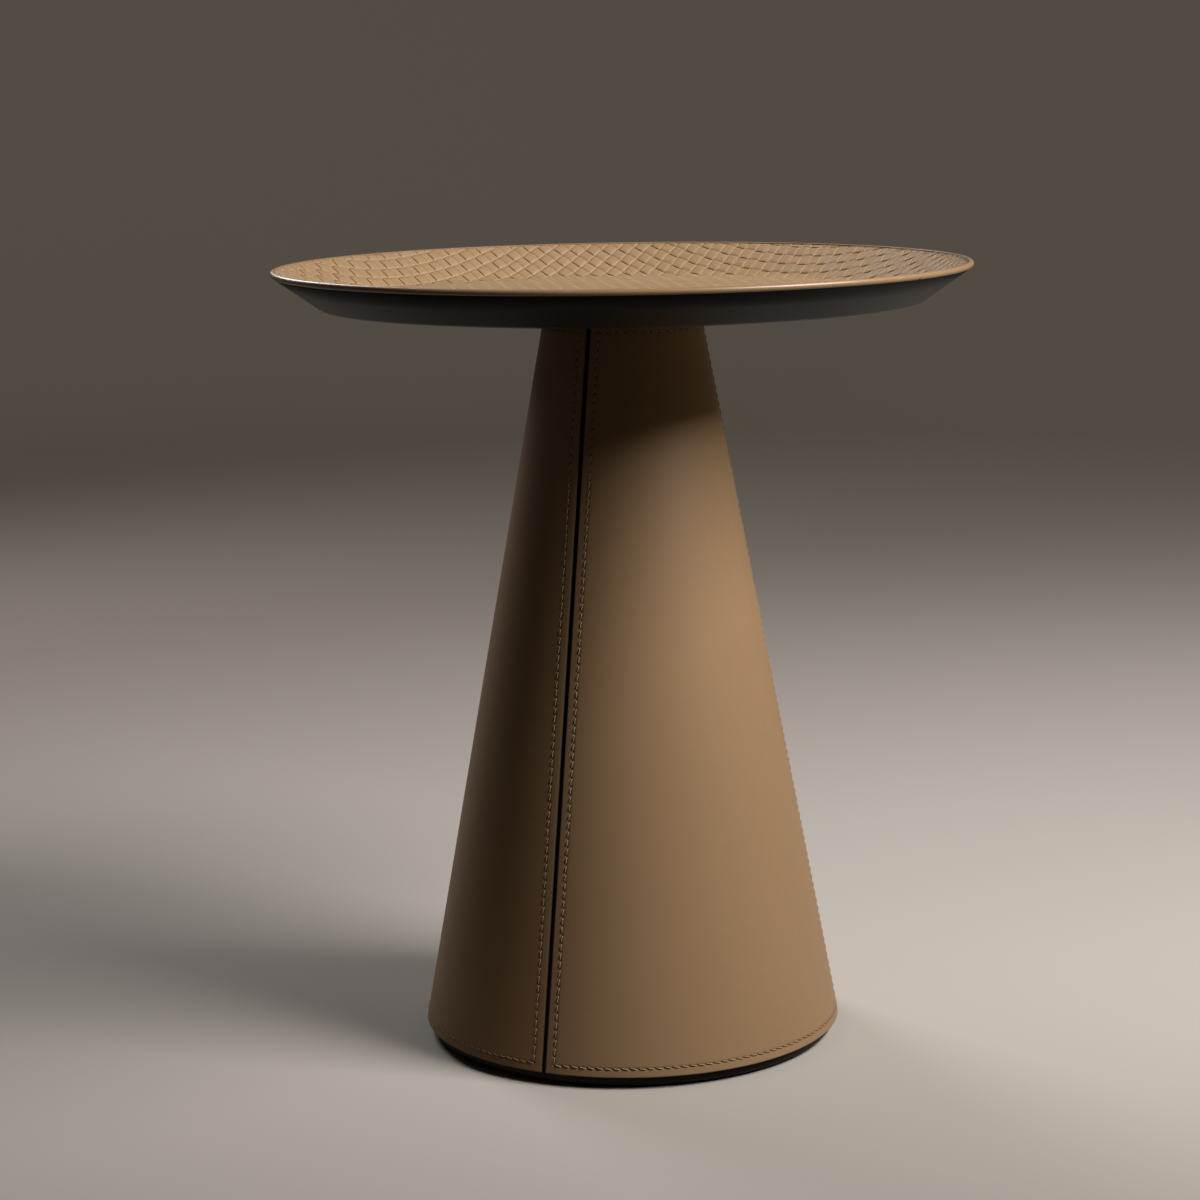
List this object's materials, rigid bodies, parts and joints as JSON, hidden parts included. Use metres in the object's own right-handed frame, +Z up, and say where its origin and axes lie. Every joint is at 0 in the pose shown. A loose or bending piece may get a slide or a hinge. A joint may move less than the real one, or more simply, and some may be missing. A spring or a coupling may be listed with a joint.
{
  "type": "side table",
  "caption": "Round side table: a leather-clad conical pedestal on a dark foot carries a shallow dished tray lined with woven leather.",
  "frame": {"origin": "centre of the base on the floor", "axes": "+Z up through the cone's axis; -Y is the front, from which the first panel slot stands 24.5 degrees to the left"},
  "size_m": [0.5, 0.5, 0.565],
  "materials": {
    "saddle_leather": "smooth tan saddle leather, satin",
    "woven_leather": "tan leather strips in a plain weave, satin",
    "thread": "waxed tan thread",
    "black_paint": "fine satin black powder coat",
    "graphite_paint": "matt graphite powder coat",
    "felt": "pressed dark grey felt",
    "zinc_steel": "bright zinc"
  },
  "bodies": {
    "root": {"felt_glide_1": "felt", "felt_glide_2": "felt", "felt_glide_3": "felt", "felt_glide_4": "felt", "base_plate": "black_paint", "base_screw_1": "zinc_steel", "base_screw_2": "zinc_steel", "base_screw_3": "zinc_steel", "base_screw_4": "zinc_steel", "cone_tab_1": "black_paint", "cone_tab_2": "black_paint", "cone_tab_3": "black_paint", "cone_tab_4": "black_paint", "cone_shell": "black_paint", "leather_panel_1": "saddle_leather", "leather_panel_2": "saddle_leather", "leather_panel_3": "saddle_leather", "top_plate": "black_paint", "tray_stud_1": "zinc_steel", "tray_stud_2": "zinc_steel", "tray_stud_3": "zinc_steel", "tray_stud_4": "zinc_steel", "stud_washer_1": "zinc_steel", "stud_washer_2": "zinc_steel", "stud_washer_3": "zinc_steel", "stud_washer_4": "zinc_steel", "stud_nut_1": "zinc_steel", "stud_nut_2": "zinc_steel", "stud_nut_3": "zinc_steel", "stud_nut_4": "zinc_steel", "tray_dish": "graphite_paint", "woven_lining": "woven_leather", "lip_bead": "saddle_leather"}
  },
  "joints": []
}
